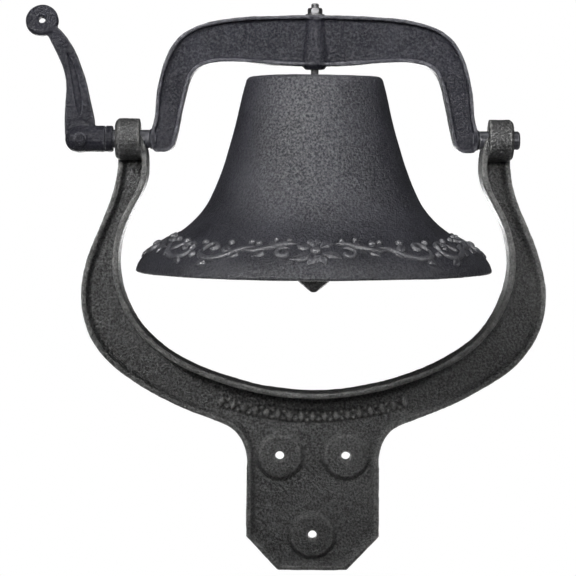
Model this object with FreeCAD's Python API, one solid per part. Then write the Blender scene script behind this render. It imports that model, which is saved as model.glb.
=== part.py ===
"""Yard dinner bell: a cast iron bell on a swinging yoke, in a bracket that bolts to a post.

All sizes are in millimetres. +X is right and +Z is up as one faces the bell, and +Y points
back into the post. The origin is on the bracket's flat back face, in the middle of its three
mounting holes. Every piece is first shaped about the middle of the trunnion axis, and `save`
then moves it to where the bracket holds that axis.
"""

import FreeCAD, Part
import math
import os

# --- driving dimensions -------------------------------------------------------------------
RUNNING_GAP = 0.05              # round a pin that turns in its hole
FIT_GAP = 0.02                  # round a pin that stays in its hole

MOUTH_RADIUS = 152.4            # a 12 inch bell
BELL_TOP = 53.3                 # crown and mouth, from the trunnion axis
BELL_MOUTH = -113.0
CROWN_THICKNESS = 8.0
CROWN_UNDER = BELL_TOP - CROWN_THICKNESS
LIP_ROUND = 2.4

BACK = 18.0                     # back face of the bracket, behind the trunnion axis
AXIS_HEIGHT = 308.0             # trunnion axis above the middle of the mounting holes
WEB_THICKNESS = 8.0
BEAD_HEIGHT = 4.0               # the bead round the bracket's outline, above its web
BEAD_WIDTH = 4.0
BEAD_SLOPE = 3.5
FLANGE_DEPTH = 32.0             # the strong inner rib of the ring, from the back face
FLANGE_WIDTH = 5.0

HOLE_RADIUS = 4.0               # mounting holes for 5/16 inch lag screws
HOLE_SPACING = 57.4             # between the two upper holes
HOLE_ROWS = 69.0                # from the upper holes down to the lower one
PAD_RADIUS = 21.5
PAD_HEIGHT = 3.2
PAD_BEVEL = 3.6
PLATE_HALF_WIDTH = 57.6

EYE_RADIUS = 18.0               # bearing eyes on top of the bracket's arms
EYE_INNER = 149.0
EYE_OUTER = 170.0
EYE_CHAMFER = 3.0
PIN_RADIUS = 8.0                # spindle and pivot pin, where they turn in the eyes

YOKE_TOP = 105.6
YOKE_HALF_DEPTH = 9.0
YOKE_RIM = 3.0
YOKE_POCKET = 4.5               # depth of the hollow in the yoke's front and back
FOOT_POCKET = 1.2               # its depth at the bottom of the feet
FOOT_POCKET_END = -7.6
SLOPE_TOP = 34.0                # height where the hollow starts to get shallower
FOOT_KNOB = (9.5, 8.5)          # radii of the round knob on each foot's outer side
FOOT_KNOB_START = 135.0
FOOT_END = 141.0
BOSS_BOTTOM = 59.8
BOSS_COLLAR = 9.6

TENON_RADIUS = 5.5              # thinner inner end of both shafts, in the yoke's feet
TENON_END = 121.0
SHAFT_CHAMFER = 1.6
SPINDLE_END = 207.0
PIVOT_END = 175.7
ROLL_PIN_X = 135.0
ROLL_PIN_RADIUS = 2.0
ROLL_PIN_WALL = 0.7
ROLL_PIN_HALF = 8.0             # half its length
ROLL_PIN_SLOT = 0.6

CRANK_X = -200.5                # middle of the crank's knuckle
CRANK_KNUCKLE_RADIUS = 13.0
CRANK_KNUCKLE_SQUASH = 0.93     # its height over its width
CRANK_HUB_RADIUS = 11.4
CRANK_HUB_FACE = -178.6
CRANK_BORE_END = -207.5
CRANK_HALF_DEPTH = 5.5
CRANK_EYE = (-232.7, 100.5)
CRANK_EYE_RADIUS = 14.0
CRANK_EYE_THICKNESS = 9.0
CRANK_EYE_ROUND = 3.6
CRANK_EYE_TILT = 18.0           # degrees, the eye's face turned a little upwards
ROPE_HOLE_RADIUS = 3.0
ROPE_HOLE_LAND = 6.0            # length of its narrow middle
ROPE_HOLE_FLARE = 6.0           # how much wider it is at the eye's faces
CROSS_PIN_X = -200.0
CROSS_PIN_RADIUS = 3.0
CROSS_PIN_HEAD = 5.0
CROSS_PIN_HEAD_HEIGHT = 1.6
CROSS_PIN_FACE = 13.0           # where its heads sit, in front of and behind the axis
CROSS_PIN_BOSS = 5.8
COLLAR = (-178.1, -172.3)
COLLAR_ROUND = 1.2

BOLT_RADIUS = 3.175             # 1/4 inch bolt
BOLT_TOP = 116.0
BOLT_GAP = 0.325                # round the bolt, in the yoke and in the bell's crown
BOLT_CHAMFER = 0.8
NUT_FLATS = 11.1
NUT_HEIGHT = 5.3
LOCK_NUT_HEIGHT = 4.0
TOP_WASHER = 1.2
TOP_WASHER_RADIUS = 8.2
CROWN_WASHER = 2.5
CROWN_WASHER_RADIUS = 14.0

CLEVIS_TOP = 31.0               # fork at the bolt's lower end
CLEVIS_BOTTOM = 10.0
CLEVIS_RADIUS = 8.0
CLEVIS_SLOT = 6.6
CLEVIS_SLOT_TOP = 24.5
CLEVIS_PIN_RADIUS = 2.5
CLEVIS_PIN_END = 12.0
CLEVIS_PIN_HEAD = 4.2
CLEVIS_PIN_HEAD_GAP = 0.2
CLEVIS_PIN_HEAD_HEIGHT = 2.2
COTTER_X = 10.2
COTTER_RADIUS = 0.8
COTTER_GAP = 0.1
COTTER_LEG = (-6.0, 4.4)
COTTER_EYE = 6.0                # middle of its round head, above the pin
COTTER_EYE_RADIUS = 1.9

CLAPPER_AXIS = 16.0
CLAPPER_BALL = -110.0
BALL_RADIUS = 17.5
CLAPPER_TIP = -130.8
TANG_THICKNESS = 6.0
TANG_RADIUS = 6.4
TANG_WIDTH = 9.0
STEM_TOP = 3.0
STEM_RADII = (4.2, 5.2)
NOSE_TOP = -123.2
NOSE_RADII = (11.6, 2.2)

# --- small tools --------------------------------------------------------------------------
X_AXIS = FreeCAD.Vector(1, 0, 0)
Y_AXIS = FreeCAD.Vector(0, 1, 0)
Z_AXIS = FreeCAD.Vector(0, 0, 1)
ORIGIN = FreeCAD.Vector(0, 0, 0)


def front(x, z, y=0.0):
    """A point of the front view."""
    return FreeCAD.Vector(x, y, z)


def mirrored(points):
    """The same points on the left side, in reverse order."""
    return [(-x, z) for x, z in reversed(points)]


def smooth(points, start=None, end=None):
    """A smooth edge through points of the front view, with its end directions if given."""
    curve = Part.BSplineCurve()
    through = [front(x, z) for x, z in points]
    if start and end:
        curve.interpolate(Points=through, InitialTangent=front(*start), FinalTangent=front(*end))
    else:
        curve.interpolate(Points=through)
    return curve.toShape()


def straight(points):
    """Straight edges from each point of the front view to the next."""
    pairs = zip(points, points[1:])
    return [Part.makeLine(front(*a), front(*b)) for a, b in pairs]


def joined(edges):
    """One wire from edges that meet."""
    return Part.Wire(Part.__sortEdges__(edges))


def beside(edge, distance, samples=30):
    """Points of the curve that runs beside an edge, on its left as seen from the front."""
    first, last = edge.ParameterRange
    points = []
    for i in range(samples + 1):
        u = first + (last - first) * i / samples
        along = edge.tangentAt(u)
        spot = edge.valueAt(u) + FreeCAD.Vector(-along.z, 0, along.x) * distance
        points.append((spot.x, spot.z))
    return points


def inset_corner(before, corner, after):
    """An outline's corner moved inwards, with both of its sides kept parallel."""
    back = (front(*before) - front(*corner)).normalize()
    on = (front(*after) - front(*corner)).normalize()
    inwards = (back + on).normalize()
    spot = front(*corner) + inwards * (BEAD_WIDTH / math.sin(back.getAngle(on) / 2))
    return (spot.x, spot.z)


def slab(wire, front_y, back_y):
    """A closed wire of the front view, filled and given depth."""
    face = Part.Face(wire)
    face.translate(FreeCAD.Vector(0, front_y, 0))
    return face.extrude(FreeCAD.Vector(0, back_y - front_y, 0))


def at(place, wanted):
    """True if two places along an axis are the same."""
    return abs(place - wanted) < 0.01


def rod(radius, start, end, axis=X_AXIS, through=ORIGIN):
    """A round bar between two places along an axis."""
    return Part.makeCylinder(radius, end - start, through + axis * start, axis)


def side_rod(radius, inner, outer, side):
    """A round bar along the trunnion axis, on its right (side 1) or its left (side -1)."""
    return rod(radius, min(side * inner, side * outer), max(side * inner, side * outer))


def ring(outer, inner, start, end, axis=X_AXIS, through=ORIGIN):
    """A washer or collar."""
    return rod(outer, start, end, axis, through).cut(rod(inner, start, end, axis, through))


def arc(points):
    """An arc of the front view through three points."""
    return Part.Arc(*[front(x, z) for x, z in points]).toShape()


def turned(edges):
    """A solid turned about the upright axis from edges of the front view."""
    return Part.Face(Part.Wire(edges)).revolve(ORIGIN, Z_AXIS, 360)


def save(name, shape):
    """Put a piece where the bracket holds the trunnion axis, and write it."""
    merged = shape.removeSplitter()
    if merged.isValid():
        shape = merged
    shape = shape.copy()
    shape.translate(FreeCAD.Vector(0, -BACK, AXIS_HEIGHT))
    assert shape.isValid(), name
    shape.exportStep("parts/" + name + ".step")
    print(name, len(shape.Solids), round(shape.Volume / 1000, 2), "cm3")


# --- bracket ------------------------------------------------------------------------------
ARM_OUTSIDE = [
    (170.0, 6), (169.4, -28), (173, -46), (183.5, -72.5), (194.4, -100), (200.9, -134.7),
    (196.4, -162), (179.3, -190), (153, -210.7), (114.4, -231.4), (84, -243),
    (67.6, -251.8), (60.4, -263), (PLATE_HALF_WIDTH, -284),
]
ARM_INSIDE = [
    (147.6, 2), (144.6, -4), (142.9, -11), (142.2, -20), (143.5, -36), (150.4, -51.8),
    (160.8, -72.5), (166.8, -98),
    (164, -127.8), (151.1, -155.4), (131.7, -176.2), (95.1, -196.9), (51.6, -210.7),
]
RING_BOTTOM = (0, -216.8)
PLATE_CORNER = (PLATE_HALF_WIDTH, -344.0)
PLATE_FOOT = (30.0, -373.5)


def bracket_inside():
    """The ring's inner edge, from the right arm's top round to the left one's."""
    return smooth(ARM_INSIDE + [RING_BOTTOM] + mirrored(ARM_INSIDE))


def bracket_outline():
    """The bracket's outline as seen from the front."""
    right = smooth(ARM_OUTSIDE)
    left = right.mirror(ORIGIN, X_AXIS)
    plate = straight([ARM_OUTSIDE[-1], PLATE_CORNER, PLATE_FOOT]
                     + mirrored([ARM_OUTSIDE[-1], PLATE_CORNER, PLATE_FOOT]))
    top = [ARM_INSIDE[0], ARM_OUTSIDE[0]]
    return joined([bracket_inside(), right, left] + plate + straight(top) + straight(mirrored(top)))


def flange_outline():
    """The strong rib that follows the ring's inner edge."""
    inner = bracket_inside()
    outer = beside(inner, FLANGE_WIDTH)
    right_end = straight([ARM_INSIDE[0], outer[0]])
    left_end = straight([mirrored(ARM_INSIDE)[-1], outer[-1]])
    return joined([inner, smooth(outer)] + right_end + left_end)


def pocket_outline():
    """The bracket's recessed web: inside the bead, and under the rib on its inner side."""
    right = smooth(ARM_OUTSIDE)
    outer = beside(right, -BEAD_WIDTH)
    inner = beside(bracket_inside(), FLANGE_WIDTH / 2)
    before, corner, foot = ARM_OUTSIDE[-1], PLATE_CORNER, PLATE_FOOT
    opposite = (-foot[0], foot[1])
    plate = [outer[-1], inset_corner(before, corner, foot), inset_corner(corner, foot, opposite)]
    edges = [smooth(inner), smooth(outer), smooth(mirrored(outer))]
    edges += straight(plate + mirrored(plate))
    edges += straight([inner[0], outer[0]]) + straight(mirrored([inner[0], outer[0]]))
    return joined(edges)


def mounting_holes():
    """Where the three holes are, in the front view."""
    upper = HOLE_ROWS / 2 - AXIS_HEIGHT
    lower = -HOLE_ROWS / 2 - AXIS_HEIGHT
    return [(-HOLE_SPACING / 2, upper), (HOLE_SPACING / 2, upper), (0, lower)]


def bracket_plate(web_front):
    """The flat part of the bracket, hollowed in front between its bead and the ring's rib."""
    bead_front = web_front - BEAD_HEIGHT
    body = slab(bracket_outline(), bead_front, BACK)
    pocket = slab(pocket_outline(), bead_front - 1, web_front)
    at_bottom = [edge for edge in pocket.Edges if at(edge.CenterOfMass.y, web_front)]
    return body.cut(pocket.makeChamfer(BEAD_SLOPE, at_bottom))


def bearing_eye(side):
    """A bearing eye, its outer edge chamfered, before it is bored."""
    start = min(side * EYE_INNER, side * EYE_OUTER)
    eye = rod(EYE_RADIUS, start, start + EYE_OUTER - EYE_INNER)
    outer = [edge for edge in eye.Edges if at(edge.CenterOfMass.x, side * EYE_OUTER)]
    return eye.makeChamfer(EYE_CHAMFER, outer)


def bracket():
    web_front = BACK - WEB_THICKNESS
    body = bracket_plate(web_front).fuse(slab(flange_outline(), BACK - FLANGE_DEPTH, BACK))
    for x, z in mounting_holes():
        foot = front(x, z, web_front)
        pad = Part.makeCone(PAD_RADIUS, PAD_RADIUS - PAD_BEVEL, PAD_HEIGHT, foot, -Y_AXIS)
        body = body.fuse(pad)
    body = body.fuse(bearing_eye(-1)).fuse(bearing_eye(1))
    for x, z in mounting_holes():
        body = body.cut(rod(HOLE_RADIUS, -BACK, BACK + 1, Y_AXIS, front(x, z)))
    for side in (-1, 1):
        body = body.cut(side_rod(PIN_RADIUS + RUNNING_GAP, EYE_INNER - 15, EYE_OUTER + 5, side))
    return body


# --- yoke ---------------------------------------------------------------------------------
YOKE_OUTSIDE = [
    (135.5, -11), (138.0, -8.6), (139.4, -3.5), (139.6, 3), (138.8, 9), (137.3, 14), (136, 21),
    (135.2, 33), (133, 48), (129, 63.5), (122.8, 77), (114, 88), (103, 95), (88, 99.8),
    (68, 103), (34, 105),
]
YOKE_INSIDE = [
    (130, -11), (124.6, -10), (120.4, -6.4), (118.2, 0), (116, 9), (113.2, 24), (110, 38),
    (105.8, 52), (100.5, 59.5), (92, 63.8), (80, 65.8), (62, 65.6), (40, 64.2), (18, 63),
]
YOKE_UNDER_BOSS = (0, 62.8)


def yoke_edges():
    """The yoke's upper and lower edges, each from the right foot over to the left one."""
    outside = smooth(YOKE_OUTSIDE + [(0, YOKE_TOP)] + mirrored(YOKE_OUTSIDE))
    inside = smooth(YOKE_INSIDE + [YOKE_UNDER_BOSS] + mirrored(YOKE_INSIDE))
    return outside, inside


def yoke_outline():
    """The yoke as seen from the front: a shallow arch on two legs."""
    end = [YOKE_OUTSIDE[0], YOKE_INSIDE[0]]
    return joined(list(yoke_edges()) + straight(end) + straight(mirrored(end)))


def pocket_floor():
    """All that lies in front of the hollow's floor, which slopes forward in the feet."""
    far = 200.0
    face = -YOKE_HALF_DEPTH
    profile = [(-far, FOOT_POCKET_END), (face + FOOT_POCKET, FOOT_POCKET_END),
               (face + YOKE_POCKET, SLOPE_TOP), (face + YOKE_POCKET, far), (-far, far)]
    points = [FreeCAD.Vector(-far, y, z) for y, z in profile + profile[:1]]
    return Part.Face(Part.makePolygon(points)).extrude(X_AXIS * (2 * far))


def yoke_pocket():
    """What the moulder leaves out of the yoke's front, inside its rims."""
    outside, inside = yoke_edges()
    upper = beside(outside, YOKE_RIM, 60)
    lower = beside(inside, -YOKE_RIM, 60)
    edges = [smooth(upper), smooth(lower)]
    edges += straight([upper[0], lower[0]]) + straight([upper[-1], lower[-1]])
    return slab(joined(edges), -YOKE_HALF_DEPTH - 1, 0).common(pocket_floor())


def yoke_boss():
    """The round boss that the bell's bolt passes through, with a low collar on top."""
    outline = [(0, BOSS_BOTTOM), (8.0, BOSS_BOTTOM), (11.8, 64), (8.6, YOKE_TOP - 5),
               (BOSS_COLLAR, YOKE_TOP - 3.6), (BOSS_COLLAR, YOKE_TOP), (0, YOKE_TOP),
               (0, BOSS_BOTTOM)]
    return turned(straight(outline))


def yoke():
    body = slab(yoke_outline(), -YOKE_HALF_DEPTH, YOKE_HALF_DEPTH)
    pocket = yoke_pocket()
    body = body.cut(pocket)
    body = body.cut(pocket.mirror(ORIGIN, Y_AXIS))
    body = body.fuse(yoke_boss())
    for side in (-1, 1):
        knob = Part.makeCone(*FOOT_KNOB, FOOT_END - FOOT_KNOB_START,
                             X_AXIS * (side * FOOT_KNOB_START), X_AXIS * side)
        body = body.fuse(knob)
    for side in (-1, 1):
        body = body.cut(side_rod(TENON_RADIUS, TENON_END, FOOT_END + 5, side))
        roll = front(side * ROLL_PIN_X, 0)
        body = body.cut(rod(ROLL_PIN_RADIUS + FIT_GAP, -20, 20, Z_AXIS, roll))
    return body.cut(rod(BOLT_RADIUS + BOLT_GAP, 50, 120, Z_AXIS))


# --- shafts, crank and their pins -----------------------------------------------------------
def shaft(outer_end, side):
    """A shaft with a thinner end in the yoke's foot, chamfered at its outer end."""
    bar = side_rod(PIN_RADIUS, FOOT_END, outer_end, side)
    rim = [edge for edge in bar.Edges
           if at(edge.CenterOfMass.x, side * outer_end) and len(edge.Vertexes) == 1]
    bar = bar.makeChamfer(SHAFT_CHAMFER, rim)
    bar = bar.fuse(side_rod(TENON_RADIUS, TENON_END, FOOT_END + 1, side))
    roll = front(side * ROLL_PIN_X, 0)
    return bar.cut(rod(ROLL_PIN_RADIUS + FIT_GAP, -20, 20, Z_AXIS, roll))


def left_spindle():
    hole = rod(CROSS_PIN_RADIUS + FIT_GAP, -20, 20, Y_AXIS, front(CROSS_PIN_X, 0))
    return shaft(SPINDLE_END, -1).cut(hole)


def roll_pin(side):
    """A rolled spring pin with its slot, down through the yoke's foot and the shaft."""
    spot = front(side * ROLL_PIN_X, 0)
    half = ROLL_PIN_HALF
    tube = ring(ROLL_PIN_RADIUS, ROLL_PIN_RADIUS - ROLL_PIN_WALL, -half, half, Z_AXIS, spot)
    corner = spot + FreeCAD.Vector(-ROLL_PIN_SLOT / 2, 0, -half - 1)
    return tube.cut(Part.makeBox(ROLL_PIN_SLOT, 2 * ROLL_PIN_RADIUS, 2 * half + 2, corner))


def collar():
    start, end = COLLAR
    body = ring(CRANK_HUB_RADIUS, PIN_RADIUS + RUNNING_GAP, start, end)
    rim = [edge for edge in body.Edges
           if at(edge.CenterOfMass.x, end) and edge.BoundBox.ZMax > PIN_RADIUS + 1]
    return body.makeFillet(COLLAR_ROUND, rim)


CRANK_LEFT = [
    (-226.9, 86.0), (-221.4, 75.5), (-215.4, 61.7), (-212.2, 47.8), (-212.4, 34), (-213.6, 20),
    (-213.4, 8), (-212.6, -1),
]
CRANK_RIGHT = [
    (-218.0, 93.2), (-211.2, 85.6), (-205.2, 75.5), (-199.6, 61.7), (-195.0, 47.8),
    (-192.0, 34), (-189.2, 20), (-187.6, 8), (-188.0, -1),
]
CRANK_NECK = [(-231.7, 95.5), (-226.7, 100.5)]      # the arm's top end, inside its eye
CRANK_HOLLOW = [(-212.4, 76), (-207.3, 62), (-204.0, 48), (-201.6, 33), (-200.4, 18)]
HOLLOW_HALF_WIDTHS = [0.0, 2.2, 2.8, 3.0, 0.0]
HOLLOW_DEPTH = 2.2


def crank_blade():
    """The crank's tapering arm, from its knuckle up to its eye."""
    neck = straight([CRANK_LEFT[0]] + CRANK_NECK + [CRANK_RIGHT[0]])
    foot = straight([CRANK_LEFT[-1], CRANK_RIGHT[-1]])
    wire = joined([smooth(CRANK_LEFT), smooth(CRANK_RIGHT)] + neck + foot)
    return slab(wire, -CRANK_HALF_DEPTH, CRANK_HALF_DEPTH)


def crank_hollow():
    """The long shallow hollow moulded in the crank's front, pointed at both ends."""
    pairs = list(zip(CRANK_HOLLOW, HOLLOW_HALF_WIDTHS))
    left = smooth([(x - half, z) for (x, z), half in pairs])
    right = smooth([(x + half, z) for (x, z), half in pairs])
    return slab(joined([left, right]), -CRANK_HALF_DEPTH - 1, HOLLOW_DEPTH - CRANK_HALF_DEPTH)


def crank_eye_axis():
    """The way out of the rope hole, towards the front and a little upwards."""
    tilt = math.radians(CRANK_EYE_TILT)
    return FreeCAD.Vector(0, -math.cos(tilt), math.sin(tilt))


def crank_eye():
    """The round eye at the crank's top end, well rounded, before its hole is made."""
    out = crank_eye_axis()
    foot = front(*CRANK_EYE) - out * (CRANK_EYE_THICKNESS / 2)
    disc = Part.makeCylinder(CRANK_EYE_RADIUS, CRANK_EYE_THICKNESS, foot, out)
    rims = [edge for edge in disc.Edges if len(edge.Vertexes) == 1]
    return disc.makeFillet(CRANK_EYE_ROUND, rims)


def rope_hole():
    """The rope hole, opening wide towards both faces of the eye."""
    out = crank_eye_axis()
    middle = front(*CRANK_EYE)
    deep = (CRANK_EYE_THICKNESS - ROPE_HOLE_LAND) / 2
    hole = rod(ROPE_HOLE_RADIUS, -20, 20, out, middle)
    for way in (out, -out):
        dish = Part.makeCone(ROPE_HOLE_RADIUS, ROPE_HOLE_RADIUS + ROPE_HOLE_FLARE, deep,
                             middle + way * (ROPE_HOLE_LAND / 2), way)
        hole = hole.fuse(dish)
    return hole


def crank_knuckle():
    """The rounded knuckle at the crank's foot."""
    middle = X_AXIS * CRANK_X
    ball = FreeCAD.Matrix()
    ball.move(-middle)
    ball.scale(1.0, 1.0, CRANK_KNUCKLE_SQUASH)
    ball.move(middle)
    return Part.makeSphere(CRANK_KNUCKLE_RADIUS, middle).transformGeometry(ball)


def crank_arm():
    hub = rod(CRANK_HUB_RADIUS, CRANK_X, CRANK_HUB_FACE)
    boss = rod(CROSS_PIN_BOSS, -CROSS_PIN_FACE, CROSS_PIN_FACE, Y_AXIS, front(CROSS_PIN_X, 0))
    body = crank_blade().fuse(crank_eye()).fuse(crank_knuckle()).fuse(hub).fuse(boss)
    body = body.cut(crank_hollow()).cut(rope_hole())
    body = body.cut(rod(PIN_RADIUS + FIT_GAP, CRANK_BORE_END, CRANK_HUB_FACE + 5))
    return body.cut(rod(CROSS_PIN_RADIUS + FIT_GAP, -20, 20, Y_AXIS, front(CROSS_PIN_X, 0)))


def crank_cross_pin():
    """A pin through the crank's knuckle and the spindle, with a low head at each end."""
    spot = front(CROSS_PIN_X, 0)
    pin = rod(CROSS_PIN_RADIUS, -CROSS_PIN_FACE, CROSS_PIN_FACE, Y_AXIS, spot)
    for way in (-1, 1):
        head = Part.makeCone(CROSS_PIN_HEAD, CROSS_PIN_HEAD - CROSS_PIN_HEAD_HEIGHT,
                             CROSS_PIN_HEAD_HEIGHT, spot + Y_AXIS * (way * CROSS_PIN_FACE),
                             Y_AXIS * way)
        pin = pin.fuse(head)
    return pin


# --- bell and the bolt that carries it ------------------------------------------------------
BELL_OUTSIDE = [
    (58.4, 50.5), (61.7, 38), (66.4, 17.3), (72, -3.5), (78.3, -24.2), (86.6, -44.9),
    (94.1, -58.7), (105.5, -71.4), (120, -82), (134.5, -90), (144.6, -97.6), (150.3, -105),
    (MOUTH_RADIUS, BELL_MOUTH + LIP_ROUND),
]
BELL_INSIDE = [
    (52.6, 41), (55.6, 34), (59.6, 16), (65.2, -5), (71.4, -25.6), (79.3, -45.4),
    (87, -59.8), (98, -73), (112.5, -85), (125.5, -93.5), (136, -102), (142.5, BELL_MOUTH),
]
OUTSIDE_SLOPES = ((2.2, -12), (0.2, -1))      # directions of each side of the wall at its ends
INSIDE_SLOPES = ((1.6, -6), (2.0, -6))
SHOULDER = [(54.0, BELL_TOP), (57.0, BELL_TOP - 1.0), BELL_OUTSIDE[0]]
LIP = [BELL_OUTSIDE[-1], (MOUTH_RADIUS - 0.7, BELL_MOUTH + 0.7), (MOUTH_RADIUS - LIP_ROUND, BELL_MOUTH)]
INNER_CORNER = [(48.0, CROWN_UNDER), (51.0, CROWN_UNDER - 1.4), BELL_INSIDE[0]]


def bell():
    hole = BOLT_RADIUS + BOLT_GAP
    edges = [smooth(BELL_OUTSIDE, *OUTSIDE_SLOPES), smooth(BELL_INSIDE, *INSIDE_SLOPES)]
    edges += [arc(SHOULDER), arc(LIP), arc(INNER_CORNER)]
    edges += straight([LIP[-1], BELL_INSIDE[-1]])
    edges += straight([INNER_CORNER[0], (hole, CROWN_UNDER), (hole, BELL_TOP), SHOULDER[0]])
    return turned(Part.__sortEdges__(edges))


def hexagon(flats, start, end):
    """A hexagonal nut blank on the bell's axis, a flat towards the front."""
    corner = flats / math.sqrt(3)
    points = []
    for i in range(7):
        angle = math.radians(60 * i)
        points.append(FreeCAD.Vector(corner * math.cos(angle), corner * math.sin(angle), start))
    blank = Part.Face(Part.makePolygon(points)).extrude(Z_AXIS * (end - start))
    dome = 0.32 * (end - start)
    crown = Part.makeCone(corner + 2.0, corner - 0.6, end - start + dome,
                          FreeCAD.Vector(0, 0, start - dome), Z_AXIS)
    return blank.common(crown)


def nut(start, height):
    hole = rod(BOLT_RADIUS + FIT_GAP, start - 1, start + height + 1, Z_AXIS)
    return hexagon(NUT_FLATS, start, start + height).cut(hole)


def washer(radius, start, thickness):
    return ring(radius, BOLT_RADIUS + BOLT_GAP, start, start + thickness, Z_AXIS)


def bell_bolt():
    """The long bolt that the bell hangs on, with a fork for the clapper at its lower end."""
    shank = rod(BOLT_RADIUS, CLEVIS_TOP - 1, BOLT_TOP, Z_AXIS)
    tip = [edge for edge in shank.Edges if at(edge.CenterOfMass.z, BOLT_TOP)]
    shank = shank.makeChamfer(BOLT_CHAMFER, tip)
    fork = rod(CLEVIS_RADIUS, CLEVIS_BOTTOM, CLEVIS_TOP, Z_AXIS)
    slot = Part.makeBox(CLEVIS_SLOT, 30, 30)
    slot.translate(FreeCAD.Vector(-CLEVIS_SLOT / 2, -15, CLEVIS_SLOT_TOP - 30))
    hole = rod(CLEVIS_PIN_RADIUS + RUNNING_GAP, -CLEVIS_PIN_END, CLEVIS_PIN_END,
               X_AXIS, front(0, CLAPPER_AXIS))
    return shank.fuse(fork).cut(slot).cut(hole)


def clapper_pin():
    middle = front(0, CLAPPER_AXIS)
    head_face = -CLEVIS_RADIUS - CLEVIS_PIN_HEAD_GAP
    shank = rod(CLEVIS_PIN_RADIUS, head_face - 1, CLEVIS_PIN_END, X_AXIS, middle)
    head = rod(CLEVIS_PIN_HEAD, head_face - CLEVIS_PIN_HEAD_HEIGHT, head_face, X_AXIS, middle)
    hole = rod(COTTER_RADIUS + COTTER_GAP, -5, 5, Z_AXIS, front(COTTER_X, CLAPPER_AXIS))
    return shank.fuse(head).cut(hole)


def clapper_cotter():
    """A small split pin with a round head."""
    spot = front(COTTER_X, CLAPPER_AXIS)
    leg = rod(COTTER_RADIUS, *COTTER_LEG, Z_AXIS, spot)
    head = Part.makeTorus(COTTER_EYE_RADIUS, COTTER_RADIUS, spot + Z_AXIS * COTTER_EYE, X_AXIS)
    return leg.fuse(head)


def clapper():
    """Flat tang, rod and pear-shaped striker in one piece."""
    middle = front(0, CLAPPER_AXIS)
    half = TANG_THICKNESS / 2
    tang = rod(TANG_RADIUS, -half, half, X_AXIS, middle)
    neck = Part.makeBox(TANG_THICKNESS, TANG_WIDTH, CLAPPER_AXIS - STEM_TOP + 2)
    neck.translate(FreeCAD.Vector(-half, -TANG_WIDTH / 2, STEM_TOP - 2))
    stem = Part.makeCone(*STEM_RADII, STEM_TOP - CLAPPER_BALL, front(0, STEM_TOP), -Z_AXIS)
    ball = Part.makeSphere(BALL_RADIUS, front(0, CLAPPER_BALL))
    nose = Part.makeCone(*NOSE_RADII, NOSE_TOP - CLAPPER_TIP, front(0, NOSE_TOP), -Z_AXIS)
    body = tang.fuse(neck).fuse(stem).fuse(ball).fuse(nose)
    return body.cut(rod(CLEVIS_PIN_RADIUS + RUNNING_GAP, -half - 1, half + 1, X_AXIS, middle))


# --- write every piece ----------------------------------------------------------------------
def main():
    os.makedirs("parts", exist_ok=True)
    nut_top = CROWN_UNDER - CROWN_WASHER
    lock_nut_top = nut_top - NUT_HEIGHT
    save("bracket", bracket())
    save("yoke", yoke())
    save("left_spindle", left_spindle())
    save("right_pivot_pin", shaft(PIVOT_END, 1))
    save("left_roll_pin", roll_pin(-1))
    save("right_roll_pin", roll_pin(1))
    save("spindle_collar", collar())
    save("crank_arm", crank_arm())
    save("crank_cross_pin", crank_cross_pin())
    save("bell", bell())
    save("bell_bolt", bell_bolt())
    save("top_washer", washer(TOP_WASHER_RADIUS, YOKE_TOP, TOP_WASHER))
    save("top_nut", nut(YOKE_TOP + TOP_WASHER, NUT_HEIGHT))
    save("crown_washer", washer(CROWN_WASHER_RADIUS, nut_top, CROWN_WASHER))
    save("crown_nut", nut(lock_nut_top, NUT_HEIGHT))
    save("crown_lock_nut", nut(lock_nut_top - LOCK_NUT_HEIGHT, LOCK_NUT_HEIGHT))
    save("clapper_pin", clapper_pin())
    save("clapper_cotter", clapper_cotter())
    save("clapper", clapper())


main()
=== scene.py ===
"""Looks for the yard dinner bell: sand-cast iron under satin black paint.

The casting's sizes are in millimetres from the middle of the trunnion axis, as one faces the
bell: x to the right, y back into the post, z up. `place` turns them into the frame's metres. The
vine is laid out on the bell's wall instead, in millimetres round from the front and up from the
lip. The floor, the lights and the camera are in metres. Angles are in degrees.
"""

import bmesh
import bpy
import math
import numpy as np
from mathutils import Euler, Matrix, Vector, noise


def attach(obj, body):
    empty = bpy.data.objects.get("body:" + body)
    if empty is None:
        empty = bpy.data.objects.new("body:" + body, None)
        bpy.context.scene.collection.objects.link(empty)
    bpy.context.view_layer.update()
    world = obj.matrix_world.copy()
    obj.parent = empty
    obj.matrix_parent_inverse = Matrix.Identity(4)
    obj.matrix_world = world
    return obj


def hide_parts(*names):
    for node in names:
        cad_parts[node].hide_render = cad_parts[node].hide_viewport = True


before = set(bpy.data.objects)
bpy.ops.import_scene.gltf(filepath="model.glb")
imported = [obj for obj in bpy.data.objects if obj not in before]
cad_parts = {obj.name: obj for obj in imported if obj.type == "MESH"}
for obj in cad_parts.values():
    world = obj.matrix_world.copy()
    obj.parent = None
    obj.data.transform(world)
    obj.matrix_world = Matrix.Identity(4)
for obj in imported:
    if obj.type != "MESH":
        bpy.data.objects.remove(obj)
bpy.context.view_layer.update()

MM = 0.001
TRUNNION = Vector((0.0, -0.018, 0.308))     # middle of the trunnion axis in the frame, in metres


def place(x, y, z):
    """A point in millimetres from the trunnion axis, in the frame's metres."""
    return Vector((x, y, z)) * MM + TRUNNION


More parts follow.
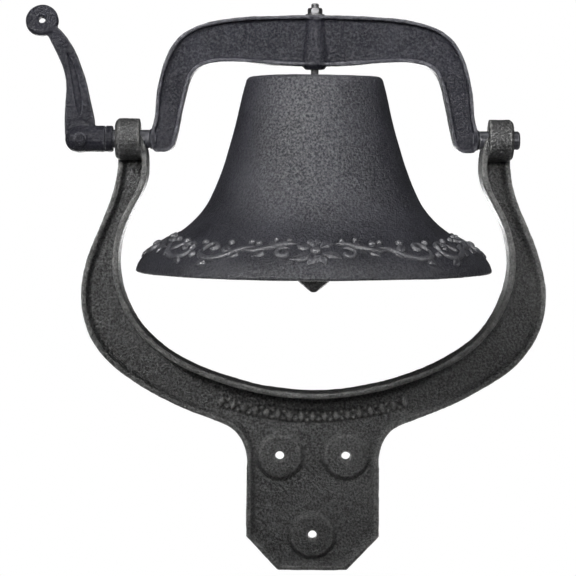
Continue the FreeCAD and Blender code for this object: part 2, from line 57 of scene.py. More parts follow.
# --- curves and shells ----------------------------------------------------------------------
def smooth_line(points, steps):
    """Points along a smooth curve through the given ones, with `steps` to each span."""
    p = [np.array(q, float) for q in points]
    p = [2 * p[0] - p[1]] + p + [2 * p[-1] - p[-2]]
    line = []
    for i in range(1, len(p) - 2):
        a, b, c, d = p[i - 1:i + 3]
        for k in range(steps):
            t = k / steps
            line.append(0.5 * (2 * b + (c - a) * t + (2 * a - 5 * b + 4 * c - d) * t * t
                               + (3 * b - a - 3 * c + d) * t ** 3))
    return np.array(line + [p[-2]])


def evenly(line, spacing):
    """The same line with its points about `spacing` apart."""
    run = np.concatenate([[0], np.cumsum(np.linalg.norm(np.diff(line, axis=0), axis=1))])
    at = np.linspace(0, run[-1], max(2, round(run[-1] / spacing) + 1))
    return np.stack([np.interp(at, run, line[:, k]) for k in range(line.shape[1])], axis=1)


def grid_faces(rows, columns, close_columns=False):
    """Quads of a grid of points, row by row."""
    faces = []
    last = columns if close_columns else columns - 1
    for i in range(rows - 1):
        for j in range(last):
            k = (j + 1) % columns
            here, above = i * columns, (i + 1) * columns
            faces.append((here + j, here + k, above + k, above + j))
    return faces


def merged(shells):
    """One list of points and faces from several."""
    verts, faces = [], []
    for v, f in shells:
        start = len(verts)
        verts += list(v)
        faces += [tuple(start + i for i in face) for face in f]
    return verts, faces


# --- pieces -----------------------------------------------------------------------------------
WELD = 1e-6                   # metres: points of a CAD mesh closer than this are one point
SOFTENING = 0.5               # how far a round of softening takes a point to its neighbours
NOISE_SHIFT = (3.1, 7.7, 1.3)     # sets each wave of noise apart from the one before


def link(name, data):
    """A new object in the scene for a mesh, a light or a camera."""
    obj = bpy.data.objects.new(name, data)
    bpy.context.scene.collection.objects.link(obj)
    return obj


def mesh_from(name, verts, faces):
    """A mesh of points in metres and faces."""
    mesh = bpy.data.meshes.new(name)
    mesh.from_pydata([tuple(v) for v in verts], [], faces)
    mesh.update()
    return mesh


def facing_out(mesh):
    """The mesh with its faces turned outwards."""
    repair = bmesh.new()
    repair.from_mesh(mesh)
    bmesh.ops.recalc_face_normals(repair, faces=repair.faces)
    repair.to_mesh(mesh)
    return mesh


def finished(mesh, name, material, body, nodes):
    """A smooth-shaded piece that rides on a body and stands for its CAD nodes."""
    mesh.polygons.foreach_set("use_smooth", [True] * len(mesh.polygons))
    mesh.materials.clear()
    mesh.materials.append(material)
    obj = link(name, mesh)
    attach(obj, body)
    if nodes:
        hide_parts(*nodes)


def applied(obj):
    """The object's mesh with its modifiers in it; the object goes."""
    graph = bpy.context.evaluated_depsgraph_get()
    mesh = bpy.data.meshes.new_from_object(obj.evaluated_get(graph))
    bpy.data.objects.remove(obj)
    return mesh


def skin(node, voxel, rounds, extra=None):
    """A CAD node's shape, with extra shells on it, as one cast skin with softened edges."""
    shape = bmesh.new()
    shape.from_mesh(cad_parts[node].data)
    bmesh.ops.remove_doubles(shape, verts=shape.verts, dist=WELD)
    if extra:
        shape.from_mesh(facing_out(mesh_from("extra", *extra)))
    mesh = bpy.data.meshes.new(node + "_rough")
    shape.to_mesh(mesh)
    obj = link(node + "_rough", mesh)
    remesh = obj.modifiers.new("skin", "REMESH")
    remesh.mode = "VOXEL"
    remesh.voxel_size = voxel * MM
    soften = obj.modifiers.new("soften", "SMOOTH")
    soften.factor = SOFTENING
    soften.iterations = rounds
    return applied(obj)


def roughen(mesh, waves):
    """The mesh with its points moved along their normals by noise: (size, height) of each wave."""
    count = len(mesh.vertices)
    at = np.empty(count * 3)
    out = np.empty(count * 3)
    mesh.vertices.foreach_get("co", at)
    mesh.vertices.foreach_get("normal", out)
    spots = [Vector(p) for p in at.reshape(-1, 3)]
    lift = np.zeros(count)
    for i, (size, height) in enumerate(waves):
        shift = Vector([c * i for c in NOISE_SHIFT])
        per_metre = 1000.0 / size
        lift += height * MM * np.array([noise.noise(p * per_metre + shift) for p in spots])
    mesh.vertices.foreach_set("co", at + np.repeat(lift, 3) * out)
    mesh.update()
    return mesh


# --- materials --------------------------------------------------------------------------------
# Ranges of Pointiness, which is 0.5 where the surface is flat, less in a hollow, more on an edge.
CREVICE = (0.42, 0.495)
PAINTED_EDGE = (0.509, 0.565)
STEEL_EDGE = (0.51, 0.58)
# Ranges of noise, from where what it brings starts to where it is full.
MOTTLED = (0.35, 0.68)
PATCHY = (0.38, 0.62)
SPECKS_AND_GLINTS = (0.5, 0.74)
SPARKLING = (0.38, 0.64)
GLOSSY = (0.3, 0.7)
STAINED = (0.35, 0.65)
RUBBED = (0.35, 0.6)

CLOUD_SIZE = 38.0             # broad mottling of the paint
PATCH_SIZE = 7.0              # breaks up the edges, which are partly worn and partly painted highlight
PIT_TO_GRAIN = 2.6            # the sand's coarse pits are this much larger than its grain
PIT_HEIGHT = 0.8              # and this much lower
STAIN_SIZE = 6.0              # uneven black on the steel
TURNING_SIZE = 0.6            # fine marks on the steel
TURNING_DEPTH = 0.12


def link_to(tree, value, socket):
    """A socket fed by another socket, or set to a plain value."""
    if isinstance(value, bpy.types.NodeSocket):
        tree.links.new(value, socket)
    else:
        socket.default_value = value


def new_material(name):
    """A material, its node tree and its shader."""
    material = bpy.data.materials.new(name)
    material.use_nodes = True
    tree = material.node_tree
    return material, tree, tree.nodes["Principled BSDF"]


def noise_node(tree, spot, size, detail, roughness=0.6):
    """Noise with features of about that size in millimetres."""
    n = tree.nodes.new("ShaderNodeTexNoise")
    tree.links.new(spot, n.inputs["Vector"])
    n.inputs["Scale"].default_value = 1000.0 / size
    n.inputs["Detail"].default_value = detail
    n.inputs["Roughness"].default_value = roughness
    return n.outputs["Fac"]


def spread(tree, value, given, wanted=(0.0, 1.0)):
    """A value's given range stretched to the wanted one, and held there."""
    n = tree.nodes.new("ShaderNodeMapRange")
    link_to(tree, value, n.inputs["Value"])
    for name, number in zip(("From Min", "From Max", "To Min", "To Max"), (*given, *wanted)):
        n.inputs[name].default_value = number
    return n.outputs["Result"]


def maths(tree, operation, a, b):
    """The result of one operation on two values."""
    n = tree.nodes.new("ShaderNodeMath")
    n.operation = operation
    link_to(tree, a, n.inputs[0])
    link_to(tree, b, n.inputs[1])
    return n.outputs[0]


def mixed(tree, factor, a, b):
    """Two colours mixed by a factor."""
    n = tree.nodes.new("ShaderNodeMix")
    n.data_type = "RGBA"
    link_to(tree, factor, n.inputs["Factor"])
    for socket, value in ((n.inputs[6], a), (n.inputs[7], b)):
        link_to(tree, value if isinstance(value, bpy.types.NodeSocket) else (*value, 1.0), socket)
    return n.outputs[2]


def lighter(colour, times, plus=0.0):
    """A colour made lighter."""
    return tuple(min(1.0, c * times + plus) for c in colour)


def pointiness(tree):
    """How far the surface bends out or in."""
    return tree.nodes.new("ShaderNodeNewGeometry").outputs["Pointiness"]


def object_spot(tree):
    """Where on the piece the surface is, so that the material moves with the piece."""
    return tree.nodes.new("ShaderNodeTexCoord").outputs["Object"]


def bumped(tree, shader, height, strength, depth):
    """Bump on the shader, up to a depth in millimetres."""
    bump = tree.nodes.new("ShaderNodeBump")
    bump.inputs["Strength"].default_value = strength
    bump.inputs["Distance"].default_value = depth * MM
    link_to(tree, height, bump.inputs["Height"])
    tree.links.new(bump.outputs["Normal"], shader.inputs["Normal"])


def painted_iron(name, *, paint, worn, gloss, shine, grain_size, grain_depth, edge_wear_and_highlight):
    """Satin paint over a sandy casting: mottled, grainy with specks that are partly painted
    glints, and lighter on its edges, partly as rubbed paint and partly as painted highlight.

    `paint` and `worn` are the colours of whole paint and of its lighter edges, `gloss` is its
    roughness, `shine` its specular level, and `edge_wear_and_highlight` is how far the edges are
    rubbed and painted lighter as highlight.
    """
    material, tree, shader = new_material(name)
    bend = pointiness(tree)
    spot = object_spot(tree)
    clouds = noise_node(tree, spot, CLOUD_SIZE, detail=4.0)
    grain = noise_node(tree, spot, grain_size, detail=3.0, roughness=0.65)
    pits = noise_node(tree, spot, grain_size * PIT_TO_GRAIN, detail=2.0)
    patches = noise_node(tree, spot, PATCH_SIZE, detail=5.0)

    # Edges lighter in patches: partly rubbed paint, partly painted highlight on the edges.
    patchy = spread(tree, patches, PATCHY, (0.35, 1.0))
    rubbed = maths(tree, "MULTIPLY", spread(tree, bend, PAINTED_EDGE), patchy)
    rubbed = maths(tree, "MULTIPLY", rubbed, edge_wear_and_highlight)

    colour = mixed(tree, spread(tree, clouds, MOTTLED), paint, lighter(paint, 1.75, 0.004))
    # Lighter specks on the grain's peaks: partly the sand's own tone, partly painted glints.
    grain_specks_and_glints = spread(tree, grain, SPECKS_AND_GLINTS, (0.0, 0.5))
    colour = mixed(tree, grain_specks_and_glints, colour, lighter(paint, 2.6, 0.01))
    link_to(tree, mixed(tree, rubbed, colour, worn), shader.inputs["Base Color"])

    roughness = spread(tree, clouds, GLOSSY, (gloss - 0.07, gloss + 0.09))
    roughness = maths(tree, "SUBTRACT", roughness, maths(tree, "MULTIPLY", rubbed, 0.1))
    link_to(tree, roughness, shader.inputs["Roughness"])

    sparkle = spread(tree, grain, SPARKLING, (shine * 0.3, shine * 1.7))
    # The shine is dimmed in hollows: painted shade where the creases would lie in shadow.
    sparkle = maths(tree, "MULTIPLY", sparkle, spread(tree, bend, CREVICE, (0.35, 1.0)))
    sparkle = maths(tree, "ADD", sparkle, maths(tree, "MULTIPLY", rubbed, shine))
    link_to(tree, sparkle, shader.inputs["Specular IOR Level"])

    height = maths(tree, "ADD", grain, maths(tree, "MULTIPLY", pits, PIT_HEIGHT))
    bumped(tree, shader, height, 1.0, grain_depth)
    return material


def dark_steel(name, *, colour, worn, gloss, metal):
    """Machined steel under thin black: fine turning marks and rubbed edges."""
    material, tree, shader = new_material(name)
    spot = object_spot(tree)
    clouds = noise_node(tree, spot, STAIN_SIZE, detail=5.0)
    marks = noise_node(tree, spot, TURNING_SIZE, detail=3.0)

    edge = spread(tree, pointiness(tree), STEEL_EDGE)
    rubbed = maths(tree, "MULTIPLY", edge, spread(tree, clouds, RUBBED, (0.2, 0.9)))
    base = mixed(tree, spread(tree, clouds, STAINED), colour, lighter(colour, 1.6))
    link_to(tree, mixed(tree, rubbed, base, worn), shader.inputs["Base Color"])

    roughness = spread(tree, clouds, GLOSSY, (gloss - 0.08, gloss + 0.08))
    link_to(tree, roughness, shader.inputs["Roughness"])
    shader.inputs["Metallic"].default_value = metal
    bumped(tree, shader, marks, 0.6, TURNING_DEPTH)
    return material


BRACKET_PAINT = painted_iron(
    "bracket_paint", paint=(0.013, 0.013, 0.013), worn=(0.22, 0.22, 0.21),
    gloss=0.37, shine=0.6, grain_size=1.9, grain_depth=1.4, edge_wear_and_highlight=0.7)
YOKE_PAINT = painted_iron(
    "yoke_paint", paint=(0.007, 0.007, 0.010), worn=(0.20, 0.20, 0.22),
    gloss=0.33, shine=0.17, grain_size=2.0, grain_depth=1.2, edge_wear_and_highlight=0.6)
BELL_PAINT = painted_iron(
    "bell_paint", paint=(0.009, 0.009, 0.012), worn=(0.16, 0.16, 0.17),
    gloss=0.37, shine=0.46, grain_size=1.8, grain_depth=1.1, edge_wear_and_highlight=0.5)
# A lighter copy of the bell's paint for the vine: painted highlight on the raised relief.
VINE_PAINT_HIGHLIT = painted_iron(
    "vine_paint_highlit", paint=(0.011, 0.011, 0.014), worn=(0.13, 0.13, 0.14),
    gloss=0.36, shine=0.6, grain_size=1.9, grain_depth=0.7, edge_wear_and_highlight=0.5)
CLAPPER_PAINT = painted_iron(
    "clapper_paint", paint=(0.012, 0.012, 0.012), worn=(0.14, 0.14, 0.14),
    gloss=0.45, shine=0.5, grain_size=1.8, grain_depth=0.5, edge_wear_and_highlight=0.5)
SHAFT_STEEL = dark_steel(
    "shaft_steel", colour=(0.03, 0.03, 0.035), worn=(0.22, 0.22, 0.23), gloss=0.38, metal=0.3)
BOLT_STEEL = dark_steel(
    "bolt_steel", colour=(0.05, 0.05, 0.052), worn=(0.28, 0.28, 0.28), gloss=0.36, metal=0.75)


# --- castings ---------------------------------------------------------------------------------
WEB_FRONT = 10.0              # front of the bracket's web, behind the trunnion axis

BORDER_CENTRE = 8.0           # height of the middle of the border's curve
BORDER_RADIUS = 247.0
BORDER_END = 18.6             # to each side
BORDER_COUNT = 17             # lozenges, with two beads between each and the next
LOZENGE_WIDTH = 6.4
LOZENGE_LENGTH = 10.6
LOZENGE_HEIGHT = 3.0
LOZENGE_POWER = 1.4
BEAD_WIDTH = 3.8
BEAD_HEIGHT = 2.4
BEAD_OFFSET = 3.1             # from the middle of the border, to each side

MOUND_FOOT = 1.0              # how deep a mound starts under the surface
MOUND_RINGS = ((1.0, 0.0), (0.86, 0.55), (0.6, 0.88), (0.3, 1.0))     # width and height


def mound(centre, out, across, along, outline, height):
    """A low cast mound: rings of an outline that shrink as they rise."""
    rings = [(1.0, -MOUND_FOOT)] + [(shrink, rise * height) for shrink, rise in MOUND_RINGS]
    verts = []
    for shrink, lift in rings:
        verts += [centre + (across * u + along * v) * shrink * MM + out * lift * MM
                  for u, v in outline]
    count = len(outline)
    faces = grid_faces(len(rings), count, close_columns=True)
    top = len(verts)
    verts.append(centre + out * height * MM)
    faces += [(top - count + i, top - count + (i + 1) % count, top) for i in range(count)]
    faces.append(tuple(reversed(range(count))))
    return verts, faces


def oval(width, length, power=2.0, count=20):
    """An outline between an oval (power 2) and a lozenge (power 1)."""
    points = []
    for i in range(count):
        angle = 2 * math.pi * i / count
        c, s = math.cos(angle), math.sin(angle)
        points.append((width / 2 * math.copysign(abs(c) ** (2 / power), c),
                       length / 2 * math.copysign(abs(s) ** (2 / power), s)))
    return points


def border():
    """A plain border of lozenges and beads cast along the web, under the ring's inner rib."""
    lozenge = oval(LOZENGE_WIDTH, LOZENGE_LENGTH, LOZENGE_POWER)
    bead = oval(BEAD_WIDTH, BEAD_WIDTH)
    out = Vector((0, -1, 0))
    shells = []
    for i in range(2 * BORDER_COUNT - 1):
        angle = math.radians(BORDER_END) * (i / (BORDER_COUNT - 1) - 1)
        s, c = math.sin(angle), math.cos(angle)
        centre = place(BORDER_RADIUS * s, WEB_FRONT, BORDER_CENTRE - BORDER_RADIUS * c)
        across = Vector((c, 0, s))
        along = Vector((-s, 0, c))
        if i % 2:
            for offset in (-BEAD_OFFSET, BEAD_OFFSET):
                middle = centre + along * offset * MM
                shells.append(mound(middle, out, across, along, bead, BEAD_HEIGHT))
        else:
            shells.append(mound(centre, out, across, along, lozenge, LOZENGE_HEIGHT))
    return merged(shells)


def bracket():
    mesh = skin("bracket", voxel=1.15, rounds=2, extra=border())
    roughen(mesh, [(26.0, 0.5), (6.0, 0.22), (2.8, 0.12)])
    finished(mesh, "bracket_casting", BRACKET_PAINT, "bracket", ["bracket"])


def yoke():
    mesh = skin("yoke", voxel=0.85, rounds=3)
    roughen(mesh, [(22.0, 0.4), (6.0, 0.2), (2.4, 0.10)])
    finished(mesh, "yoke_casting", YOKE_PAINT, "yoke", ["yoke"])


def crank():
    mesh = skin("crank_arm", voxel=0.65, rounds=16)
    roughen(mesh, [(16.0, 0.35), (5.0, 0.16)])
    finished(mesh, "crank_casting", YOKE_PAINT, "yoke", ["crank_arm"])


def clapper():
    mesh = skin("clapper", voxel=0.8, rounds=3)
    roughen(mesh, [(14.0, 0.3), (5.0, 0.12)])
    finished(mesh, "clapper_casting", CLAPPER_PAINT, "clapper", ["clapper"])


# --- bell -------------------------------------------------------------------------------------
# Points of the bell's outline are radius and height.
BELL_SEGMENTS = 384
BELL_WAVES = [(60.0, 0.5), (14.0, 0.16), (4.0, 0.07)]
BOLT_HOLE = 3.5
CROWN_TOP = 53.3
CROWN_UNDER = 45.3
CROWN_EDGE = 54.0             # radius of the crown's flat top
LIP_BOTTOM = -113.0
LIP_OUTSIDE = 150.0           # radii of the lip's flat bottom
LIP_INSIDE = 142.5

BELL_WALL = [
    (58.4, 50.5), (61.7, 38), (66.4, 17.3), (72, -3.5), (78.3, -24.2), (86.6, -44.9),
    (94.1, -58.7), (105.5, -71.4), (120, -82), (134.5, -90), (144.6, -97.6), (150.3, -105),
    (152.4, -110.6),
]
BELL_SHOULDER = [(CROWN_EDGE, CROWN_TOP), (55.8, 53.1), (57.2, 52.2), BELL_WALL[0]]
BELL_LIP = [BELL_WALL[-1], (152.3, -111.9), (151.5, -112.8), (LIP_OUTSIDE, LIP_BOTTOM)]
BELL_HOLLOW = [
    (LIP_INSIDE, LIP_BOTTOM), (136, -102), (125.5, -93.5), (112.5, -85), (98, -73), (87, -59.8),
    (79.3, -45.4), (71.4, -25.6), (65.2, -5), (59.6, 16), (55.6, 34), (52.6, 41),
    (48.0, CROWN_UNDER),
]

WALL_SPACING = 0.5
WALL = evenly(smooth_line(list(reversed(BELL_WALL)), 12), WALL_SPACING)      # from the lip up
WALL_RUN = np.concatenate([[0], np.cumsum(np.linalg.norm(np.diff(WALL, axis=0), axis=1))])
SLOPE_REACH = 0.6             # the wall's slope is taken this far to both sides
SAME_POINT = 0.05             # points of the outline closer than this are one point


def bell_profile():
    """The outline from the bolt hole over the shoulder, round the lip, and up inside."""
    stretches = [
        # points, spacing
        ([(BOLT_HOLE, CROWN_UNDER), (BOLT_HOLE, CROWN_TOP)], 2.0),
        ([(BOLT_HOLE, CROWN_TOP), (CROWN_EDGE, CROWN_TOP)], 4.0),
        (smooth_line(BELL_SHOULDER, 6), 1.0),
        (WALL[::-1], 1.8),
        (smooth_line(BELL_LIP, 6), 0.7),
        ([(LIP_OUTSIDE, LIP_BOTTOM), (LIP_INSIDE, LIP_BOTTOM)], 1.5),
        (smooth_line(BELL_HOLLOW, 12), 3.5),
        ([BELL_HOLLOW[-1], (BOLT_HOLE, CROWN_UNDER)], 4.0),
    ]
    line = [np.array([BOLT_HOLE, CROWN_UNDER])]
    for points, spacing in stretches:
        for p in evenly(np.array(points), spacing):
            if np.linalg.norm(p - line[-1]) > SAME_POINT:
                line.append(p)
    return np.array(line[:-1])


def on_wall(up):
    """Radius and height of the bell's outside, millimetres up from the lip along the wall."""
    return np.array([np.interp(up, WALL_RUN, WALL[:, k]) for k in (0, 1)])


def bell_wall(around, up, proud):
    """A point on or over the bell's wall: degrees round from the front, millimetres up from the
    lip along the wall, and millimetres proud of it."""
    r, z = on_wall(up)
    rise = on_wall(up + SLOPE_REACH) - on_wall(up - SLOPE_REACH)
    rise /= np.linalg.norm(rise)
    r += proud * rise[1]
    z -= proud * rise[0]
    angle = math.radians(around)
    return place(r * math.sin(angle), -r * math.cos(angle), z)


# --- vine round the bell ----------------------------------------------------------------------
ROUND = 2.24                  # millimetres to a degree, round the middle of the vine
PROUD = 2.5                   # height of a stem over the wall
RIBBON_SPACING = 1.1
# A ribbon's section, in half widths from its middle and heights; its feet are inside the wall.
ACROSS = [-1.0, -0.8, -0.5, 0.0, 0.5, 0.8, 1.0]
CROSS_SECTION = [-0.35, 0.55, 0.88, 1.0, 0.88, 0.55, -0.35]
THINNEST = 0.05               # of a ribbon's width, at its tips
STEM_TAPER = (0.25, 0.25)     # how much of a ribbon's length each of its ends takes to thin out
LEAF_TAPER = (0.45, 0.6)
CURL_TAPER = (0.2, 0.15)
LEAF_HEIGHT = 0.85            # of a stem's
LEAF_HOLLOW = 0.55            # height of a leaf's middle, of its own
LEAF_BEND = 0.12              # how far a leaf bends to one side, of its length
CURL_STEPS = 14
CURL_CLOSES = 0.78            # how much of its radius a curl loses on the way in
BERRY_SIDES = 14
BERRY_RINGS = ((1.0, -0.25), (0.95, 0.35), (0.72, 0.75), (0.38, 0.96))     # width and height


def fade(t, length):
    """From 0 at the tip of a ribbon to 1 where its taper ends."""
    return math.sin(math.pi / 2 * min(1.0, t / length))


def ribbon(points, width, height=PROUD, taper=STEM_TAPER, spine=1.0):
    """A raised stem or leaf on the bell: (round, up) points in millimetres, with tapered ends."""
    line = evenly(smooth_line(points, 10), RIBBON_SPACING)
    count = len(line)
    along = np.gradient(line, axis=0)
    along /= np.linalg.norm(along, axis=1)[:, None]
    verts = []
    for i, (p, d) in enumerate(zip(line, along)):
        t = i / (count - 1)
        swell = max(THINNEST, fade(t, taper[0]) * fade(1 - t, taper[1]))
        for u, h in zip(ACROSS, CROSS_SECTION):
            rise = h * height * (swell ** 0.5 if h > 0 else 1.0)
            if u == 0:
                rise *= spine
            spot = p + np.array([-d[1], d[0]]) * (u * width / 2 * swell)
            verts.append(bell_wall(spot[0] / ROUND, spot[1], rise))
    return verts, grid_faces(count, len(ACROSS))


def berry(at, radius, height):
    """A round berry on the bell."""
    verts = []
    for shrink, rise in BERRY_RINGS:
        for k in range(BERRY_SIDES):
            angle = 2 * math.pi * k / BERRY_SIDES
            along = at[0] + radius * shrink * math.cos(angle)
            up = at[1] + radius * shrink * math.sin(angle)
            verts.append(bell_wall(along / ROUND, up, rise * height))
    faces = grid_faces(len(BERRY_RINGS), BERRY_SIDES, close_columns=True)
    top = len(verts)
    verts.append(bell_wall(at[0] / ROUND, at[1], height))
    rim = top - BERRY_SIDES
    faces += [(rim + k, rim + (k + 1) % BERRY_SIDES, top) for k in range(BERRY_SIDES)]
    return verts, faces


def leaf(at, heading, length, width):
    """A pointed leaf with a hollow along its middle."""
    a = math.radians(heading)
    tip = (at[0] + length * math.cos(a), at[1] + length * math.sin(a))
    bend = (-LEAF_BEND * length * math.sin(a), LEAF_BEND * length * math.cos(a))
    middle = ((at[0] + tip[0]) / 2 + bend[0], (at[1] + tip[1]) / 2 + bend[1])
    return ribbon([at, middle, tip], width, PROUD * LEAF_HEIGHT, LEAF_TAPER, LEAF_HOLLOW)


def curl(centre, radius, start, turns, way, width):
    """A tendril that winds in to its centre."""
    points = []
    for i in range(CURL_STEPS + 1):
        t = i / CURL_STEPS
        angle = math.radians(start) + way * 2 * math.pi * turns * t
        r = radius * (1 - CURL_CLOSES * t)
        points.append((centre[0] + r * math.cos(angle), centre[1] + r * math.sin(angle)))
    return ribbon(points, width, taper=CURL_TAPER)


SPRAYS = 4
SPRAY_ANGLE = 360 / SPRAYS
BERRY_HEIGHT = 1.15           # of a stem's
FLOWER_UP = 28.5
FLOWER_RADIUS = 4.6
FLOWER_HEIGHT = 1.3
FLOWER_LEAVES = ((34.0, 90), (23.0, -90))         # up, heading
FLOWER_LEAF_SIZE = (10.0, 8.0)                    # length, width
MEETING_BERRIES = ((20.0, 3.4), (38.0, 3.0))      # up, radius
MEETING_HEIGHT = 1.1


def half_spray():
    """From a flower at 0 to the meeting of two sprays at 100 millimetres round the bell.

    After its kind, a leaf has its root, heading, length and width; a curl its centre, radius,
    starting angle, turns, way round and width; a stem its points and width; and a berry its
    middle and radius.
    """
    return [
        ("leaf", (3.5, 32.0), 34, 15.0, 9.5), ("leaf", (4.5, 24.0), -26, 16.0, 9.5),
        ("leaf", (1.8, 37.5), 70, 9.0, 8.0), ("leaf", (2.0, 19.5), -62, 9.5, 8.0),
        ("curl", (24.0, 24.0), 7.4, 120, 1.0, -1, 4.4),
        ("stem", [(15, 38.5), (25, 38.0), (36, 32.5), (47, 27.5), (57, 27.0)], 6.0),
        ("leaf", (32, 34.5), 55, 10.0, 8.0), ("leaf", (40, 28.5), -50, 12.0, 8.5),
        ("stem", [(49, 33.0), (59, 29.0), (69, 20.5), (81, 16.0), (92, 19.0), (96, 28)], 6.0),
        ("leaf", (61, 26.5), -62, 11.0, 8.0), ("leaf", (67, 24.5), 50, 14.0, 9.0),
        ("curl", (86.5, 30.0), 7.6, -40, 1.0, 1, 4.6),
        ("leaf", (84, 15.0), -38, 10.0, 7.5),
        ("berry", (47, 38.5), 3.6), ("berry", (54.5, 40.5), 3.1), ("berry", (22.0, 43.0), 2.8),
        ("berry", (73, 39.0), 3.4), ("berry", (33.5, 44.0), 2.6),
    ]


def on_side(part, middle, side):
    """A part of a half spray as a shell, set round the bell and turned to one side."""
    def there(p):
        return (middle + side * p[0], p[1])

    def turned(degrees):
        return degrees if side > 0 else 180 - degrees

    kind = part[0]
    if kind == "stem":
        return ribbon([there(p) for p in part[1]], part[2])
    if kind == "leaf":
        return leaf(there(part[1]), turned(part[2]), part[3], part[4])
    if kind == "curl":
        return curl(there(part[1]), part[2], turned(part[3]), part[4], part[5] * side, part[6])
    return berry(there(part[1]), part[2], PROUD * BERRY_HEIGHT)


def vine():
    """Four sprays round the bell, each the same to both sides of its flower."""
    shells = []
    for i in range(SPRAYS):
        middle = i * SPRAY_ANGLE * ROUND
        for side in (-1, 1):
            shells += [on_side(part, middle, side) for part in half_spray()]
        shells.append(berry((middle, FLOWER_UP), FLOWER_RADIUS, PROUD * FLOWER_HEIGHT))
        for up, heading in FLOWER_LEAVES:
            shells.append(leaf((middle, up), heading, *FLOWER_LEAF_SIZE))
        meeting = middle + SPRAY_ANGLE / 2 * ROUND
        for up, radius in MEETING_BERRIES:
            shells.append(berry((meeting, up), radius, PROUD * MEETING_HEIGHT))
    return merged(shells)


def bell():
    profile = bell_profile()
    verts = []
    for r, z in profile:
        for k in range(BELL_SEGMENTS):
            angle = 2 * math.pi * k / BELL_SEGMENTS
            verts.append(place(r * math.sin(angle), -r * math.cos(angle), z))
    faces = grid_faces(len(profile), BELL_SEGMENTS, close_columns=True)
    last = (len(profile) - 1) * BELL_SEGMENTS
    for k in range(BELL_SEGMENTS):
        n = (k + 1) % BELL_SEGMENTS
        faces.append((last + k, last + n, n, k))
    wall = roughen(facing_out(mesh_from("bell_casting", verts, faces)), BELL_WAVES)
    finished(wall, "bell_casting", BELL_PAINT, "bell", ["bell"])
    relief = roughen(facing_out(mesh_from("bell_vine", *vine())), BELL_WAVES)
    finished(relief, "bell_vine", VINE_PAINT_HIGHLIT, "bell", [])


# --- shafts, pins and the bolt ------------------------------------------------------------------
SMALL_PIECES = [
    # node, voxel, rounds of softening, material, slot
    ("left_spindle", 0.5, 2, SHAFT_STEEL, "dark_steel"),
    ("right_pivot_pin", 0.5, 2, SHAFT_STEEL, "dark_steel"),
    ("left_roll_pin", 0.22, 1, SHAFT_STEEL, "dark_steel"),
    ("right_roll_pin", 0.22, 1, SHAFT_STEEL, "dark_steel"),
    ("spindle_collar", 0.4, 2, YOKE_PAINT, "yoke_iron"),
    ("crank_cross_pin", 0.35, 2, YOKE_PAINT, "dark_steel"),
    ("bell_bolt", 0.35, 2, BOLT_STEEL, "fastener_steel"),
    ("top_washer", 0.25, 2, BOLT_STEEL, "fastener_steel"),
    ("top_nut", 0.25, 2, BOLT_STEEL, "fastener_steel"),
    ("crown_washer", 0.35, 2, BOLT_STEEL, "fastener_steel"),
    ("crown_nut", 0.3, 2, BOLT_STEEL, "fastener_steel"),
    ("crown_lock_nut", 0.3, 2, BOLT_STEEL, "fastener_steel"),
    ("clapper_pin", 0.3, 2, BOLT_STEEL, "fastener_steel"),
    ("clapper_cotter", 0.18, 1, BOLT_STEEL, "fastener_steel"),
]

THREAD_PITCH = 1.27
THREAD_BOTTOM = 38.0
THREAD_TOP = 115.2
THREAD_STEPS = 36             # to a turn
THREAD_SECTION = ((3.05, -0.5), (3.42, -0.12), (3.42, 0.12), (3.05, 0.5))     # radius, height


def small_pieces():
    """The shafts, pins, bolt, nuts and washers, which all swing with the yoke."""
    for node, voxel, rounds, material, slot in SMALL_PIECES:
        finished(skin(node, voxel, rounds), node + "_detail", material, "yoke", [node])


def thread():
    """The bolt's thread, as one ridge that winds up its shank."""
    steps = int((THREAD_TOP - THREAD_BOTTOM) / THREAD_PITCH) * THREAD_STEPS
    verts = []
    for i in range(steps + 1):
        angle = 2 * math.pi * i / THREAD_STEPS
        z = THREAD_BOTTOM + THREAD_PITCH * i / THREAD_STEPS
        for r, dz in THREAD_SECTION:
            verts.append(place(r * math.cos(angle), r * math.sin(angle), z + dz))
    mesh = mesh_from("bell_bolt_thread", verts, grid_faces(steps + 1, len(THREAD_SECTION)))
    finished(mesh, "bell_bolt_thread", BOLT_STEEL, "yoke", [])


# --- floor, light and camera --------------------------------------------------------------------
WHITE = (1, 1, 1, 1)
FLOOR_GREY = (0.8, 0.8, 0.8, 1)
FLOOR_ROUGHNESS = 0.9
FLOOR_GLOW = 0.62
FLOOR_REACH = 3.0             # from its middle to each side
FLOOR_LEVEL = -1.2

SKY_SEEN = 1.0                # strength of the white round the bell, to look at
SKY_LIT = 0.05                # and as a light
WIDE = 180                    # the spread of a light that shines to all sides
LIGHTS = [
    # name, spot, the point it faces, width, height, watts, spread
    ("high_left", (-1.15, -1.5, 1.3), (-0.05, 0, 0.4), 0.5, 0.5, 2.6, 36),
    ("high_right", (1.3, -1.2, 1.2), (0, 0, 0.4), 0.3, 0.5, 1.1, 36),
    ("top_box", (0.0, -0.4, 1.9), (0, 0, 0.2), 1.0, 0.5, 9, WIDE),
    ("left_box", (-1.8, -0.5, 0.8), (0, 0, 0.2), 0.4, 1.0, 4, WIDE),
    ("right_box", (1.8, -0.6, 0.8), (0, 0, 0.2), 0.3, 1.0, 3, WIDE),
    ("front_box", (-0.15, -2.1, 0.8), (0, 0, 0.46), 0.5, 0.4, 1.0, 25),
    ("back_box", (0.0, 2.0, -0.4), (0, 0, 0.25), 1.4, 0.8, 40, WIDE),
]

CAMERA_TARGET = (-0.02205, -0.018, 0.18089)
CAMERA_DISTANCE = 1.75
CAMERA_HEIGHT = 3.3           # degrees above level
CAMERA_ROLL = 0.25
VIEW_WIDTH = 0.49529664       # what the picture spans at the target
SENSOR_WIDTH = 36.0           # millimetres, as is the lens


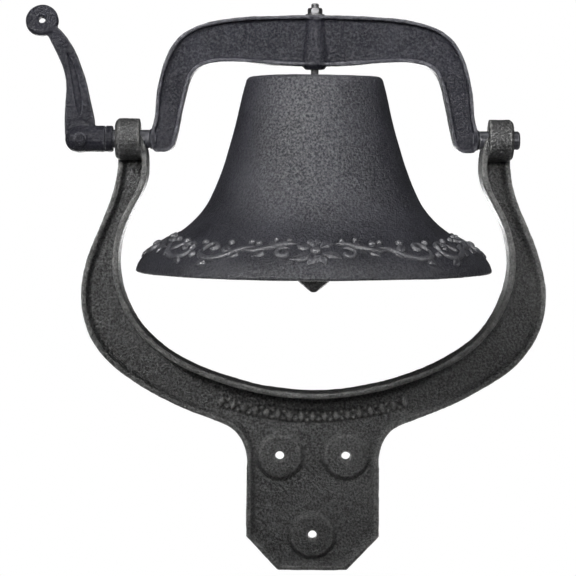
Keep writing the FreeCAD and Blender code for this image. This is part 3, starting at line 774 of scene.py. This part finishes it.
def floor():
    """Pale to look at, without throwing light up at the bell."""
    material, tree, shader = new_material("floor")
    shader.inputs["Base Color"].default_value = FLOOR_GREY
    shader.inputs["Roughness"].default_value = FLOOR_ROUGHNESS
    shader.inputs["Emission Color"].default_value = WHITE
    seen = tree.nodes.new("ShaderNodeLightPath").outputs["Is Camera Ray"]
    glow = maths(tree, "MULTIPLY", seen, FLOOR_GLOW)
    link_to(tree, glow, shader.inputs["Emission Strength"])
    corners = [(x * FLOOR_REACH, y * FLOOR_REACH, FLOOR_LEVEL)
               for x, y in ((-1, -1), (1, -1), (1, 1), (-1, 1))]
    mesh = mesh_from("floor", corners, [(0, 1, 2, 3)])
    mesh.materials.append(material)
    link("floor", mesh)


def softbox(name, spot, target, width, height, power, spread_angle):
    """A rectangular light that faces a point."""
    light = bpy.data.lights.new(name, "AREA")
    light.spread = math.radians(spread_angle)
    light.shape = "RECTANGLE"
    light.size = width
    light.size_y = height
    light.energy = power
    obj = link(name, light)
    obj.location = spot
    obj.rotation_euler = (Vector(target) - Vector(spot)).to_track_quat("-Z", "Y").to_euler()


def white_sky(tree, strength):
    """A plain white background of a strength."""
    node = tree.nodes.new("ShaderNodeBackground")
    node.inputs["Color"].default_value = WHITE
    node.inputs["Strength"].default_value = strength
    return node.outputs[0]


def studio():
    """White all round for the camera, and a dim grey room for the light."""
    world = bpy.data.worlds.new("studio")
    bpy.context.scene.world = world
    world.use_nodes = True
    tree = world.node_tree
    tree.nodes.clear()
    path = tree.nodes.new("ShaderNodeLightPath")
    mix = tree.nodes.new("ShaderNodeMixShader")
    out = tree.nodes.new("ShaderNodeOutputWorld")
    tree.links.new(path.outputs["Is Camera Ray"], mix.inputs[0])
    tree.links.new(white_sky(tree, SKY_LIT), mix.inputs[1])
    tree.links.new(white_sky(tree, SKY_SEEN), mix.inputs[2])
    tree.links.new(mix.outputs[0], out.inputs["Surface"])
    for light in LIGHTS:
        softbox(*light)
    bpy.context.scene.view_settings.view_transform = "Standard"


def camera():
    data = bpy.data.cameras.new("camera")
    data.sensor_width = SENSOR_WIDTH
    data.lens = SENSOR_WIDTH * CAMERA_DISTANCE / VIEW_WIDTH
    obj = link("camera", data)
    angle = math.radians(CAMERA_HEIGHT)
    back = Vector((0, -math.cos(angle), math.sin(angle)))
    obj.location = Vector(CAMERA_TARGET) + back * CAMERA_DISTANCE
    roll = Euler((0, 0, math.radians(CAMERA_ROLL))).to_quaternion()
    obj.rotation_euler = ((-back).to_track_quat("-Z", "Y") @ roll).to_euler()
    bpy.context.scene.camera = obj


bracket()
yoke()
crank()
clapper()
bell()
small_pieces()
thread()
floor()
studio()
camera()
